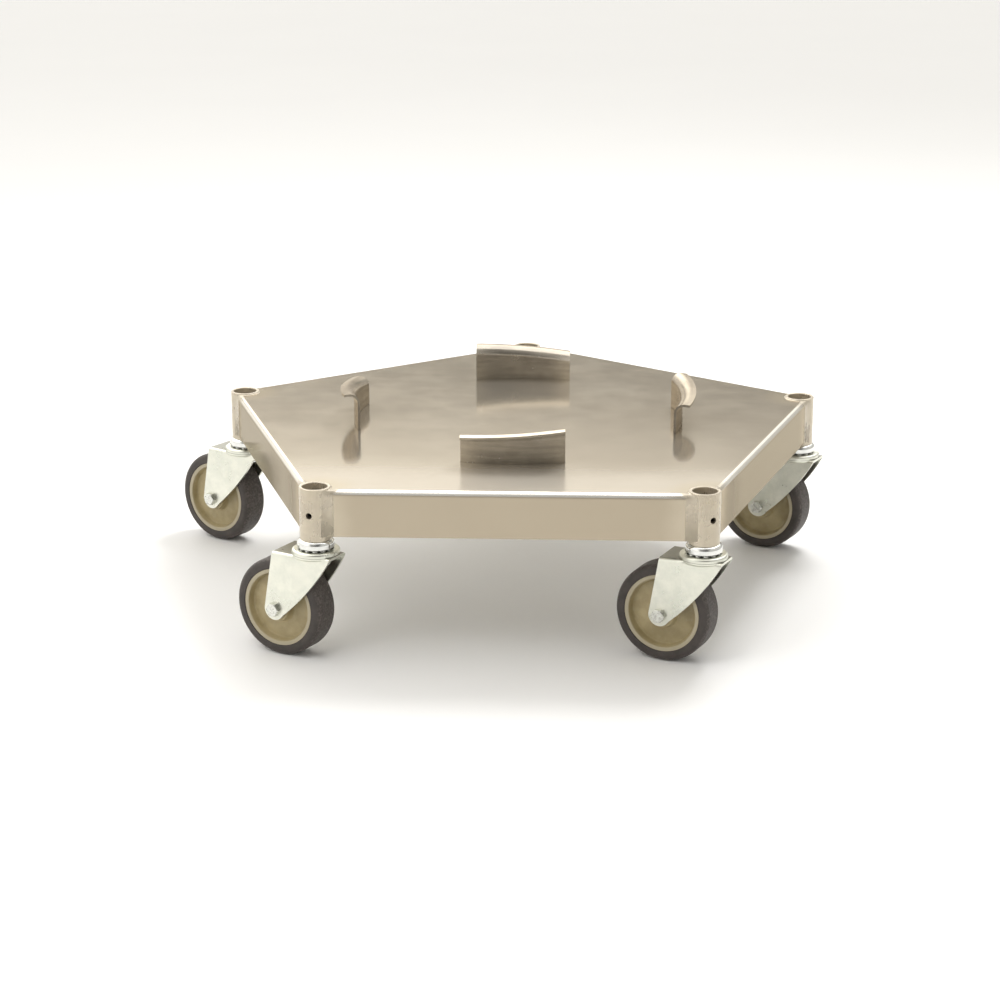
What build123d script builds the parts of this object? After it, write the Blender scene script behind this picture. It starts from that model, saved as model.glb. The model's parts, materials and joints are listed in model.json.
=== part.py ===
from build123d import *
from math import acos, asin, atan2, cos, degrees, hypot, radians, sin, sqrt, tan
import os

# Pentagonal stainless drum dolly on five swivel casters, in millimetres.
# Origin: on the floor, straight below the centre of the deck. +Z is up, -Y is the front side.

os.makedirs("parts", exist_ok=True)

# ------------------------------------------------------------------ driving dimensions

INCH = 25.4

# Layout of the frame
CORNER_RADIUS = 13 * INCH        # deck centre to each socket's axis
WHEEL_DIAMETER = 4 * INCH
SOCKET_BOTTOM = 5 * INCH         # where each socket stands on its caster's top race
SOCKET_LENGTH = 2.125 * INCH
SOCKET_TOP = SOCKET_BOTTOM + SOCKET_LENGTH

# Socket tubes
SOCKET_OD = 1.25 * INCH
SOCKET_ID = 25.65
RIM_CHAMFER = 0.5

# Deck pan
SHEET = 2.5                      # stainless sheet of the pan and the cleats
BEND_RADIUS = 6.0                # outside radius of the fold from deck to skirt
SKIRT_HEIGHT = 48.0
RIM_ABOVE_DECK = 1.5
SKIRT_OUTSET = 11.3              # skirt's outer face beyond the line joining two sockets' axes
DECK_TOP = SOCKET_TOP - RIM_ABOVE_DECK
SKIRT_BOTTOM = DECK_TOP - SKIRT_HEIGHT
SIDES = 5
DECK_APOTHEM = CORNER_RADIUS * cos(radians(180 / SIDES)) + SKIRT_OUTSET

# Cleats that hold the drum's chime
CLEAT_RADIUS = 176.5             # inner face, from the deck's centre
CLEAT_CHORD = 4.25 * INCH
CLEAT_LOW_END = 32.0             # height above the deck at the clockwise end
CLEAT_HIGH_END = 39.6            # height above the deck at the other end
CLEAT_ROLL_RADIUS = 10.4         # outside radius of the rolled lip
CLEAT_ROLL_ANGLE = 98.0
CLEAT_LIP = 5.2                  # straight stretch past the roll
CLEAT_SECTIONS = 5
CLEAT_SLOT_GAP = 0.25            # round a cleat's foot, in its slot through the deck

# Lock pins through sockets and stems
PIN_HOLE_RADIUS = 3.25
PIN_RADIUS = 3.2
PIN_BORE_RADIUS = 2.0
PIN_SLOT = 1.2
PIN_LENGTH = 27.0
PIN_HEIGHT = SOCKET_BOTTOM + SOCKET_LENGTH / 2

# Caster stem and kingpin
STEM_RADIUS = INCH / 2
STEM_TOP = SOCKET_TOP - 7.0
STEM_CHAMFER = 1.2
CENTRE_MARK_RADIUS = 2.6
KINGPIN_RADIUS = INCH / 4
RIVET_RADIUS = 9.5
RIVET_HEIGHT = 4.0

# Swivel: two ball rows, above and below the fork's head
HEAD_RADIUS = 24.5
HEAD_TOP = 116.6
HEAD_BOTTOM = 108.7
HEAD_BORE_RADIUS = 8.0
RUNNING_GAP = 0.05               # ball to the race that turns over it
UPPER_BALL_RADIUS = INCH / 8
UPPER_BALL_CIRCLE = 14.3
UPPER_BALL_COUNT = 12
UPPER_BALL_Z = 116.4
LOWER_BALL_RADIUS = INCH * 3 / 32
LOWER_BALL_CIRCLE = 11.5
LOWER_BALL_COUNT = 10
LOWER_BALL_Z = HEAD_BOTTOM - LOWER_BALL_RADIUS - RUNNING_GAP
RACE_WALL_GAP = 0.15             # ball to the sides of its groove
TOP_RACE_RADIUS = 19.0
TOP_RACE_BOTTOM = HEAD_TOP + 1.2
LOWER_RACE_RADIUS = 15.0
LOWER_RACE_BOTTOM = 98.9

# Fork
TRAIL = 38.0                     # swivel axis to axle
AXLE_Z = WHEEL_DIAMETER / 2
FORK_SHEET = 2.8
FORK_GAP = 38.0                  # between the legs' inner faces
FORK_TOP = 112.0
FORK_BEND_RADIUS = 3.6
FORK_REAR = 39.0                 # behind the swivel axis, towards the wheel
FORK_FRONT = -25.0
CREASE_AT = 15.0                 # the legs are bent inwards in front of this line
CREASE_ANGLE = 9.0
LEG_END_RADIUS = 11.5
LEG_FRONT_RADIUS = 230.0         # hollow curve of the legs' front edges
LEG_HALF = FORK_GAP / 2 + FORK_SHEET
AXLE_HOLE_RADIUS = 4.1

# Axle
BOLT_RADIUS = INCH * 5 / 32
HEX_ACROSS_FLATS = INCH / 2
BOLT_HEAD_HEIGHT = 4.8
NUT_HEIGHT = 6.8
NUT_BORE_RADIUS = BOLT_RADIUS + 0.04
BOLT_END_PAST_NUT = 2.0
SLEEVE_RADIUS = INCH / 4
SLEEVE_BORE_RADIUS = BOLT_RADIUS + 0.09

# Wheel
TREAD_WIDTH = 1.25 * INCH
TREAD_SHOULDER = 6.0
TREAD_INNER_EDGE = 1.0
CORE_RADIUS = 40.2
CORE_RIM_HALF_WIDTH = 15.2
CORE_RIM_THICKNESS = 4.0
CORE_RIB_HEIGHT = 2.0            # rib under the tread that keys it to the core
CORE_RIB_HALF_WIDTH = 6.0
DISH_HALF_WIDTH_AT_HUB = 9.5
DISH_HALF_WIDTH_AT_RIM = 8.0
HUB_RADIUS = 14.0
HUB_HALF_WIDTH = FORK_GAP / 2 - 0.8
BEARING_RADIUS = 8.9
BEARING_CLEARANCE = 0.05         # bearing to axle sleeve, on the radius

# Corners: socket's direction from the centre, caster's trail heading, pin's heading, in degrees
CORNERS = {
    "front_left": (-126.0, 152.0, -108.0),
    "front_right": (-54.0, 156.0, -58.6),
    "right": (18.0, 153.0, 18.0),
    "back": (90.0, 150.0, 90.0),
    "left": (162.0, 145.5, 162.0),
}
# Cleats: direction from the centre and lean outwards, in degrees
CLEATS = {"front": (-90.0, 3.0), "right": (0.0, 0.0), "back": (90.0, 0.0), "left": (180.0, 0.0)}

# ------------------------------------------------------------------ frames


def heading(angle):
    """Unit vector in the floor plane at an angle from +X."""
    return Vector(cos(radians(angle)), sin(radians(angle)), 0)


def corner_frame(corner, turn):
    """Plane on the floor under a corner's swivel axis, its x axis at the angle turn."""
    direction, _, _ = CORNERS[corner]
    return Plane(origin=heading(direction) * CORNER_RADIUS, x_dir=heading(turn), z_dir=(0, 0, 1))


def swivel_frame(corner):
    """Floor frame of a caster: x along its trail, z up its swivel axis."""
    _, trail_heading, _ = CORNERS[corner]
    return corner_frame(corner, trail_heading)


def axle_frame(corner):
    """Frame at a wheel's centre: z along the axle, towards the bolt head."""
    swivel = swivel_frame(corner)
    centre = swivel.origin + swivel.x_dir * TRAIL + Vector(0, 0, AXLE_Z)
    return Plane(origin=centre, x_dir=swivel.x_dir, z_dir=swivel.y_dir)


def pin_frame(corner):
    """Frame at the middle of a corner's lock pin: z along the pin, outwards."""
    _, _, pin_heading = CORNERS[corner]
    middle = corner_frame(corner, pin_heading).origin + Vector(0, 0, PIN_HEIGHT)
    return Plane(origin=middle, x_dir=(0, 0, 1), z_dir=heading(pin_heading))


def write(piece, name):
    """Label a finished piece and write it as its own STEP file."""
    piece.part.label = name
    export_step(piece.part, f"parts/{name}.step")


# ------------------------------------------------------------------ deck pan

cleat_half_angle = degrees(asin(CLEAT_CHORD / 2 / CLEAT_RADIUS))


def cleat_slot():
    """Slot round the foot of the cleat that lies towards +X."""
    half_angle = cleat_half_angle + degrees(CLEAT_SLOT_GAP / CLEAT_RADIUS)
    with BuildSketch() as slot:
        with BuildLine():
            inner = CenterArc((-CLEAT_SLOT_GAP, 0), CLEAT_RADIUS, -half_angle, 2 * half_angle)
            outer = CenterArc((SHEET + CLEAT_SLOT_GAP, 0), CLEAT_RADIUS, -half_angle, 2 * half_angle)
            Line(inner @ 0, outer @ 0)
            Line(inner @ 1, outer @ 1)
        make_face()
    return slot.sketch


with BuildPart() as deck_pan:
    with BuildSketch(Plane.XY.offset(SKIRT_BOTTOM)):
        RegularPolygon(DECK_APOTHEM, SIDES, major_radius=False, rotation=18)
    extrude(amount=SKIRT_HEIGHT)
    fillet(deck_pan.edges().group_by(Axis.Z)[-1], radius=BEND_RADIUS)
    offset(amount=-SHEET, openings=deck_pan.faces().sort_by(Axis.Z)[0])
    # The five corners are cut round for the sockets.
    with BuildSketch(Plane.XY.offset(SKIRT_BOTTOM)):
        with PolarLocations(CORNER_RADIUS, SIDES, start_angle=18):
            Circle(SOCKET_OD / 2)
    extrude(amount=SKIRT_HEIGHT, mode=Mode.SUBTRACT)
    # The cleats' feet are let in through curved slots.
    with BuildSketch(Plane.XY.offset(DECK_TOP)):
        with PolarLocations(0, len(CLEATS)):
            add(cleat_slot())
    extrude(amount=-SHEET, mode=Mode.SUBTRACT)
write(deck_pan, "deck_pan")

# ------------------------------------------------------------------ corner sockets

for corner in CORNERS:
    floor_frame = swivel_frame(corner)
    with BuildPart() as socket:
        with BuildSketch(floor_frame.offset(SOCKET_BOTTOM)):
            Circle(SOCKET_OD / 2)
            Circle(SOCKET_ID / 2, mode=Mode.SUBTRACT)
        extrude(amount=SOCKET_LENGTH)
        chamfer(socket.edges().group_by(Axis.Z)[-1], length=RIM_CHAMFER)
        with Locations(pin_frame(corner).location):
            Cylinder(PIN_HOLE_RADIUS, 2 * SOCKET_OD, mode=Mode.SUBTRACT)
    write(socket, f"socket_{corner}")

# ------------------------------------------------------------------ chime cleats


def cleat_section(sketch_plane, height):
    """One upright section of a cleat: a wall, rolled outwards at the top into a lip."""
    roll_centre = (CLEAT_ROLL_RADIUS, height - CLEAT_ROLL_RADIUS)
    inner_radius = CLEAT_ROLL_RADIUS - SHEET
    end_angle = 180 - CLEAT_ROLL_ANGLE
    with BuildSketch(sketch_plane) as section:
        with BuildLine():
            face = Line((0, -SHEET), (0, roll_centre[1]))
            outer = CenterArc(roll_centre, CLEAT_ROLL_RADIUS, 180, -CLEAT_ROLL_ANGLE)
            lip_top = Line(outer @ 1, outer @ 1 + (outer % 1) * CLEAT_LIP)
            inner = CenterArc(roll_centre, inner_radius, end_angle, CLEAT_ROLL_ANGLE)
            lip_under = Line(inner @ 0 + (outer % 1) * CLEAT_LIP, inner @ 0)
            Line(lip_top @ 1, lip_under @ 0)
            back = Line(inner @ 1, (SHEET, -SHEET))
            Line(back @ 1, face @ 0)
        make_face()
    return section.sketch


up = Vector(0, 0, 1)
for side, (direction, lean) in CLEATS.items():
    outward = heading(direction)
    sections = []
    for step in range(CLEAT_SECTIONS):
        share = step / (CLEAT_SECTIONS - 1)
        foot_heading = heading(direction - cleat_half_angle + 2 * cleat_half_angle * share)
        section_plane = Plane(
            origin=foot_heading * CLEAT_RADIUS + up * DECK_TOP,
            x_dir=outward * cos(radians(lean)) - up * sin(radians(lean)),
            z_dir=outward.cross(up),
        )
        height = CLEAT_LOW_END + (CLEAT_HIGH_END - CLEAT_LOW_END) * share
        sections.append(cleat_section(section_plane, height))
    with BuildPart() as cleat:
        add(sections)
        loft()
    write(cleat, f"cleat_{side}")

# ------------------------------------------------------------------ lock pins

with BuildPart() as pin_shape:
    with BuildSketch():
        Circle(PIN_RADIUS)
        Circle(PIN_BORE_RADIUS, mode=Mode.SUBTRACT)
        with Locations((PIN_RADIUS, 0)):
            Rectangle(PIN_RADIUS * 2, PIN_SLOT, mode=Mode.SUBTRACT)
    extrude(amount=PIN_LENGTH / 2, both=True)

with BuildPart() as stem_lock_pins:
    for corner in CORNERS:
        with Locations(pin_frame(corner).location):
            add(pin_shape.part)
write(stem_lock_pins, "stem_lock_pins")

# ------------------------------------------------------------------ caster stems

with BuildPart() as stem_shape:
    with BuildSketch(Plane.XZ):
        with BuildLine():
            rivet_bottom = LOWER_RACE_BOTTOM - RIVET_HEIGHT
            rivet_dome = (RIVET_RADIUS**2 + RIVET_HEIGHT**2) / (2 * RIVET_HEIGHT)
            Polyline(
                (0, STEM_TOP - CENTRE_MARK_RADIUS),
                (CENTRE_MARK_RADIUS, STEM_TOP),
                (STEM_RADIUS - STEM_CHAMFER, STEM_TOP),
                (STEM_RADIUS, STEM_TOP - STEM_CHAMFER),
                (STEM_RADIUS, SOCKET_BOTTOM),
                (KINGPIN_RADIUS, SOCKET_BOTTOM),
                (KINGPIN_RADIUS, LOWER_RACE_BOTTOM),
                (RIVET_RADIUS, LOWER_RACE_BOTTOM),
            )
            RadiusArc((RIVET_RADIUS, LOWER_RACE_BOTTOM), (0, rivet_bottom), rivet_dome)
            Line((0, rivet_bottom), (0, STEM_TOP - CENTRE_MARK_RADIUS))
        make_face()
    revolve(axis=Axis.Z)

for corner in CORNERS:
    with BuildPart() as caster_stem:
        with Locations(swivel_frame(corner).location):
            add(stem_shape.part)
        with Locations(pin_frame(corner).location):
            Cylinder(PIN_HOLE_RADIUS, 2 * SOCKET_OD, mode=Mode.SUBTRACT)
    write(caster_stem, f"caster_stem_{corner}")

# ------------------------------------------------------------------ swivel races and balls

upper_groove_inner = UPPER_BALL_CIRCLE - UPPER_BALL_RADIUS - RACE_WALL_GAP
upper_groove_outer = UPPER_BALL_CIRCLE + UPPER_BALL_RADIUS + RACE_WALL_GAP
lower_groove_inner = LOWER_BALL_CIRCLE - LOWER_BALL_RADIUS - RACE_WALL_GAP
lower_groove_outer = LOWER_BALL_CIRCLE + LOWER_BALL_RADIUS + RACE_WALL_GAP

with BuildPart() as top_race_shape:
    with BuildSketch(Plane.XZ):
        with BuildLine():
            crown = 4.5
            under_edge = 1.2
            groove_top = UPPER_BALL_Z + UPPER_BALL_RADIUS
            boss_bottom = HEAD_TOP - 0.7
            Polyline(
                (KINGPIN_RADIUS, SOCKET_BOTTOM),
                (KINGPIN_RADIUS, boss_bottom),
                (upper_groove_inner - 1, boss_bottom),
                (upper_groove_inner, groove_top),
                (upper_groove_outer, groove_top),
                (upper_groove_outer, TOP_RACE_BOTTOM),
                (TOP_RACE_RADIUS - under_edge, TOP_RACE_BOTTOM),
                (TOP_RACE_RADIUS, TOP_RACE_BOTTOM + under_edge),
                (TOP_RACE_RADIUS, SOCKET_BOTTOM - crown),
            )
            RadiusArc(
                (TOP_RACE_RADIUS, SOCKET_BOTTOM - crown),
                (TOP_RACE_RADIUS - crown, SOCKET_BOTTOM),
                -crown,
            )
            Line((TOP_RACE_RADIUS - crown, SOCKET_BOTTOM), (KINGPIN_RADIUS, SOCKET_BOTTOM))
        make_face()
    revolve(axis=Axis.Z)

with BuildPart() as lower_race_shape:
    with BuildSketch(Plane.XZ):
        with BuildLine():
            lip_top = LOWER_BALL_Z - 0.5
            groove_floor = LOWER_BALL_Z - LOWER_BALL_RADIUS
            Polyline(
                (KINGPIN_RADIUS, LOWER_RACE_BOTTOM),
                (LOWER_RACE_RADIUS - 2, LOWER_RACE_BOTTOM),
                (LOWER_RACE_RADIUS, LOWER_RACE_BOTTOM + 2),
                (LOWER_RACE_RADIUS, lip_top),
                (lower_groove_outer, lip_top),
                (lower_groove_outer, groove_floor),
                (lower_groove_inner, groove_floor),
                (lower_groove_inner, HEAD_BOTTOM - 1),
                (KINGPIN_RADIUS, HEAD_BOTTOM - 1),
                close=True,
            )
        make_face()
    revolve(axis=Axis.Z)

for corner in CORNERS:
    with BuildPart() as top_race:
        with Locations(swivel_frame(corner).location):
            add(top_race_shape.part)
    write(top_race, f"top_race_{corner}")

with BuildPart() as lower_races:
    for corner in CORNERS:
        with Locations(swivel_frame(corner).location):
            add(lower_race_shape.part)
write(lower_races, "lower_races")

with BuildPart() as bearing_balls:
    for corner in CORNERS:
        floor_frame = swivel_frame(corner)
        with Locations(floor_frame.offset(UPPER_BALL_Z).location):
            with PolarLocations(UPPER_BALL_CIRCLE, UPPER_BALL_COUNT):
                Sphere(UPPER_BALL_RADIUS)
        with Locations(floor_frame.offset(LOWER_BALL_Z).location):
            with PolarLocations(LOWER_BALL_CIRCLE, LOWER_BALL_COUNT):
                Sphere(LOWER_BALL_RADIUS)
write(bearing_balls, "bearing_balls")

# ------------------------------------------------------------------ forks


def tangent_point(start, centre, radius):
    """Where a line from start touches a circle that lies on its left."""
    along = (centre[0] - start[0], centre[1] - start[1])
    distance = hypot(*along)
    length = sqrt(distance**2 - radius**2)
    angle = atan2(along[1], along[0]) + asin(radius / distance)
    return (start[0] + length * cos(angle), start[1] + length * sin(angle))


def hollow_touch(start, centre, radius, hollow_radius):
    """Where a hollow arc from start runs smoothly into a circle."""
    along = (centre[0] - start[0], centre[1] - start[1])
    distance = hypot(*along)
    reach = radius + hollow_radius
    at_start = acos((hollow_radius**2 + distance**2 - reach**2) / (2 * hollow_radius * distance))
    angle = atan2(along[1], along[0]) - at_start
    arc_centre = (start[0] + hollow_radius * cos(angle), start[1] + hollow_radius * sin(angle))
    share = radius / reach
    return (
        centre[0] + (arc_centre[0] - centre[0]) * share,
        centre[1] + (arc_centre[1] - centre[1]) * share,
    )


with BuildPart() as fork_shape:
    leg_bottom = AXLE_Z - LEG_END_RADIUS
    pinch = (CREASE_AT - FORK_FRONT) * tan(radians(CREASE_ANGLE))
    # Outer shape in plan, straight behind the crease and narrowing in front of it.
    with BuildSketch(Plane.XY.offset(leg_bottom)):
        Polygon(
            (TRAIL + 2 * LEG_END_RADIUS, -LEG_HALF),
            (TRAIL + 2 * LEG_END_RADIUS, LEG_HALF),
            (CREASE_AT, LEG_HALF),
            (FORK_FRONT, LEG_HALF - pinch),
            (FORK_FRONT, pinch - LEG_HALF),
            (CREASE_AT, -LEG_HALF),
            align=None,
        )
    extrude(amount=FORK_TOP - leg_bottom)
    side_edges = fork_shape.edges().group_by(Axis.Z)[-1].filter_by(Axis.Y, reverse=True)
    fillet(side_edges, radius=FORK_BEND_RADIUS)
    # The room for the wheel, open at both ends and below, leaves two legs and a top plate.
    inner_half = FORK_GAP / 2
    run = CREASE_AT - 2 * FORK_FRONT
    with BuildSketch(Plane.XY.offset(leg_bottom)):
        Polygon(
            (2 * TRAIL, -inner_half),
            (2 * TRAIL, inner_half),
            (CREASE_AT, inner_half),
            (2 * FORK_FRONT, inner_half - run * tan(radians(CREASE_ANGLE))),
            (2 * FORK_FRONT, run * tan(radians(CREASE_ANGLE)) - inner_half),
            (CREASE_AT, -inner_half),
            align=None,
        )
    extrude(amount=FORK_TOP - FORK_SHEET - leg_bottom, mode=Mode.SUBTRACT)
    # Side outline: round end at the axle, slanted front edge up to the head.
    with BuildSketch(Plane.XZ):
        with BuildLine():
            axle = (TRAIL, AXLE_Z)
            rear_top = (FORK_REAR, FORK_TOP)
            front_low = (FORK_FRONT, FORK_TOP - FORK_SHEET)
            rear_touch = tangent_point(rear_top, axle, LEG_END_RADIUS)
            front_touch = hollow_touch(front_low, axle, LEG_END_RADIUS, LEG_FRONT_RADIUS)
            Line(rear_top, rear_touch)
            ThreePointArc(rear_touch, (TRAIL, AXLE_Z - LEG_END_RADIUS), front_touch)
            RadiusArc(front_touch, front_low, LEG_FRONT_RADIUS)
            Polyline(front_low, (FORK_FRONT, FORK_TOP), rear_top)
        make_face()
    extrude(amount=2 * LEG_HALF, both=True, mode=Mode.INTERSECT)
    # Head with the grooves of both ball rows.
    with BuildSketch(Plane.XZ):
        with BuildLine():
            shoulder = 2.5
            under_edge = 1.5
            Polyline(
                (0, HEAD_TOP),
                (HEAD_RADIUS - shoulder, HEAD_TOP),
            )
            RadiusArc(
                (HEAD_RADIUS - shoulder, HEAD_TOP),
                (HEAD_RADIUS, HEAD_TOP - shoulder),
                shoulder,
            )
            Polyline(
                (HEAD_RADIUS, HEAD_TOP - shoulder),
                (HEAD_RADIUS, HEAD_BOTTOM + under_edge),
                (HEAD_RADIUS - under_edge, HEAD_BOTTOM),
                (0, HEAD_BOTTOM),
                (0, HEAD_TOP),
            )
        make_face()
    revolve(axis=Axis.Z)
    with BuildSketch(Plane.XZ):
        with BuildLine():
            groove_floor = UPPER_BALL_Z - UPPER_BALL_RADIUS - RUNNING_GAP
            collar_top = HEAD_TOP - 1.5
            Polyline(
                (0, HEAD_BOTTOM - 1),
                (HEAD_BORE_RADIUS, HEAD_BOTTOM - 1),
                (HEAD_BORE_RADIUS, collar_top),
                (upper_groove_inner, collar_top),
                (upper_groove_inner, groove_floor),
                (upper_groove_outer, groove_floor),
                (upper_groove_outer, HEAD_TOP + 1),
                (0, HEAD_TOP + 1),
                close=True,
            )
        make_face()
    revolve(axis=Axis.Z, mode=Mode.SUBTRACT)
    with Locations(Plane(origin=(TRAIL, 0, AXLE_Z), z_dir=(0, 1, 0)).location):
        Cylinder(AXLE_HOLE_RADIUS, 4 * LEG_HALF, mode=Mode.SUBTRACT)

# ------------------------------------------------------------------ axle pieces, z along the axle


def hexagon_prism(bottom, height):
    """Chamfered hexagon of a bolt head or nut, its chamfer at the top."""
    corner_radius = HEX_ACROSS_FLATS / sqrt(3)
    with BuildPart() as prism:
        with BuildSketch(Plane.XY.offset(bottom)):
            RegularPolygon(corner_radius, 6)
        extrude(amount=height)
        with BuildSketch(Plane.XZ):
            with BuildLine():
                slope = 0.9
                flat_radius = HEX_ACROSS_FLATS / 2 - 0.2
                Polyline(
                    (0, bottom),
                    (corner_radius, bottom),
                    (corner_radius, bottom + height - slope),
                    (flat_radius, bottom + height),
                    (0, bottom + height),
                    close=True,
                )
            make_face()
        revolve(axis=Axis.Z, mode=Mode.INTERSECT)
    return prism.part


bolt_head = hexagon_prism(LEG_HALF, BOLT_HEAD_HEIGHT)
nut_blank = Rot(180, 0, 0) * hexagon_prism(LEG_HALF, NUT_HEIGHT)

with BuildPart() as axle_bolt_shape:
    shank_end = -(LEG_HALF + NUT_HEIGHT + BOLT_END_PAST_NUT)
    with BuildSketch(Plane.XY.offset(shank_end)):
        Circle(BOLT_RADIUS)
    extrude(amount=LEG_HALF - shank_end + BOLT_HEAD_HEIGHT / 2)
    chamfer(axle_bolt_shape.edges().group_by(Axis.Z)[0], length=0.8)
    add(bolt_head)

with BuildPart() as axle_nut_shape:
    add(nut_blank)
    Cylinder(NUT_BORE_RADIUS, 4 * LEG_HALF, mode=Mode.SUBTRACT)

with BuildPart() as axle_sleeve_shape:
    with BuildSketch():
        Circle(SLEEVE_RADIUS)
        Circle(SLEEVE_BORE_RADIUS, mode=Mode.SUBTRACT)
    extrude(amount=FORK_GAP / 2, both=True)

# ------------------------------------------------------------------ wheel pieces, z along the axle

with BuildPart() as wheel_bearing_shape:
    with BuildSketch():
        Circle(BEARING_RADIUS)
        Circle(SLEEVE_RADIUS + BEARING_CLEARANCE, mode=Mode.SUBTRACT)
    extrude(amount=HUB_HALF_WIDTH, both=True)

with BuildPart() as wheel_core_shape:
    with BuildSketch(Plane.XZ):
        with BuildLine():
            rim_inner = CORE_RADIUS - CORE_RIM_THICKNESS
            half_profile = Polyline(
                (BEARING_RADIUS, 0),
                (BEARING_RADIUS, HUB_HALF_WIDTH),
                (HUB_RADIUS, HUB_HALF_WIDTH),
                (HUB_RADIUS + 2, DISH_HALF_WIDTH_AT_HUB),
                (rim_inner - 2, DISH_HALF_WIDTH_AT_RIM),
                (rim_inner, CORE_RIM_HALF_WIDTH),
                (CORE_RADIUS, CORE_RIM_HALF_WIDTH),
                (CORE_RADIUS, CORE_RIB_HALF_WIDTH),
                (CORE_RADIUS + CORE_RIB_HEIGHT, CORE_RIB_HALF_WIDTH),
                (CORE_RADIUS + CORE_RIB_HEIGHT, 0),
            )
            mirror(half_profile, about=Plane.XZ)
        make_face()
    revolve(axis=Axis.Z)
    inner_rim_edges = wheel_core_shape.edges().filter_by(GeomType.CIRCLE).filter_by(
        lambda edge: abs(edge.radius - rim_inner) < 0.1
    )
    fillet(inner_rim_edges, radius=1.2)
    dish_edges = wheel_core_shape.edges().filter_by(GeomType.CIRCLE).filter_by(
        lambda edge: edge.radius in (HUB_RADIUS, HUB_RADIUS + 2, rim_inner - 2)
    )
    fillet(dish_edges, radius=1.5)

with BuildPart() as wheel_tread_shape:
    with BuildSketch(Plane.XZ) as tread_section:
        with Locations(((CORE_RADIUS + WHEEL_DIAMETER / 2) / 2, 0)):
            Rectangle(WHEEL_DIAMETER / 2 - CORE_RADIUS, TREAD_WIDTH)
        fillet(tread_section.vertices().group_by(Axis.X)[-1], radius=TREAD_SHOULDER)
        chamfer(tread_section.vertices().group_by(Axis.X)[0], length=TREAD_INNER_EDGE)
        with Locations((CORE_RADIUS, 0)):
            Rectangle(2 * CORE_RIB_HEIGHT, 2 * CORE_RIB_HALF_WIDTH, mode=Mode.SUBTRACT)
    revolve(axis=Axis.Z)

# ------------------------------------------------------------------ five casters

AXLE_PIECES = {
    "axle_bolt": axle_bolt_shape,
    "axle_nut": axle_nut_shape,
    "axle_sleeve": axle_sleeve_shape,
    "wheel_bearing": wheel_bearing_shape,
    "wheel_core": wheel_core_shape,
    "wheel_tread": wheel_tread_shape,
}

for corner in CORNERS:
    with BuildPart() as fork:
        with Locations(swivel_frame(corner).location):
            add(fork_shape.part)
    write(fork, f"fork_{corner}")
    for piece, shape in AXLE_PIECES.items():
        with BuildPart() as placed:
            with Locations(axle_frame(corner).location):
                add(shape.part)
        write(placed, f"{piece}_{corner}")
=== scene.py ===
import json
from math import atan2, cos, degrees, pi, radians, sin, sqrt

import bmesh
import bpy
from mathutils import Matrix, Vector


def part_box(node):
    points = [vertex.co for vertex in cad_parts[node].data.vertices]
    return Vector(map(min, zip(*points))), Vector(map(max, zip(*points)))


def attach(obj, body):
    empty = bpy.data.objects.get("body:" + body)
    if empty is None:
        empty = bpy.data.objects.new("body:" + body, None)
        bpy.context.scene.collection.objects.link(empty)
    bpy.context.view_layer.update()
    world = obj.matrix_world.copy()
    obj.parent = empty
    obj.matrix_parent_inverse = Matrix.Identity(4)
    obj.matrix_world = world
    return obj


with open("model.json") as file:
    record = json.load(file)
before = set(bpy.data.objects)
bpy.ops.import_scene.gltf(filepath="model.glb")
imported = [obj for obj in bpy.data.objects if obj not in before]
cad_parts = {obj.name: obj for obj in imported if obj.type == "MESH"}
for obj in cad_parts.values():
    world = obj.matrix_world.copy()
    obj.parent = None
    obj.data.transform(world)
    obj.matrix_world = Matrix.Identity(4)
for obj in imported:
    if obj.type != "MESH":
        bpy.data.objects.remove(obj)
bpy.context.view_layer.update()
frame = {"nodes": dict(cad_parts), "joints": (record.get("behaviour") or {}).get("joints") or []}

# Looks of the five-caster drum dolly. Everything is in metres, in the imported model's frame:
# origin on the floor under the deck's centre, +Z up, -Y the front side.

MM = 0.001
CORNERS = ("front_left", "front_right", "right", "back", "left")
CLEATS = {"front": -90.0, "right": 0.0, "back": 90.0, "left": 180.0}
JOINTS = {joint["name"]: joint for joint in frame["joints"]}

# Sizes shared with the CAD model
SKIRT_OUTSET = 11.3 * MM         # skirt's outer face beyond the sockets' centre line
BEND_RADIUS = 6 * MM             # outside radius of the bend between deck and skirt
SHEET = 2.5 * MM
CLEAT_RADIUS = 176.5 * MM        # inner face of the cleats, from the deck's centre
CLEAT_HALF_ANGLE = 17.8
FORK_TOP = 112 * MM              # top of a fork's plate, beside its swivel head
CORE_RIM = (35.0 * MM, 37.5 * MM)        # radii between which the core's dish turns into its rim
SIDE_WALL = (42.5 * MM, 47.5 * MM)       # radii of the tread's ribbed side wall
TREAD_SHOULDER = (47.5 * MM, 50.0 * MM)  # radii between which it turns into the running surface
MOULD_LINE_PITCH = 1.6 * MM

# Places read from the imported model
DECK_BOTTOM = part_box("deck_pan")[0].z
DECK_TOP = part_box("deck_pan")[1].z
SOCKET_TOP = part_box("socket_front_left")[1].z
SOCKET_RADIUS = (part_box("socket_back")[1].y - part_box("socket_back")[0].y) / 2


def socket_axis(corner):
    """Where a corner's swivel axis meets the floor."""
    x, y, _ = JOINTS[f"swivel_{corner}"]["pos_m"]
    return Vector((x, y, 0))


def wheel_centre(corner):
    """Middle of a corner's wheel at rest."""
    return Vector(JOINTS[f"roll_{corner}"]["pos_m"])


def axle_direction(corner):
    """Unit direction of a corner's axle at rest."""
    return Vector(JOINTS[f"roll_{corner}"]["axis"])


# ------------------------------------------------------------------ node materials


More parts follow.
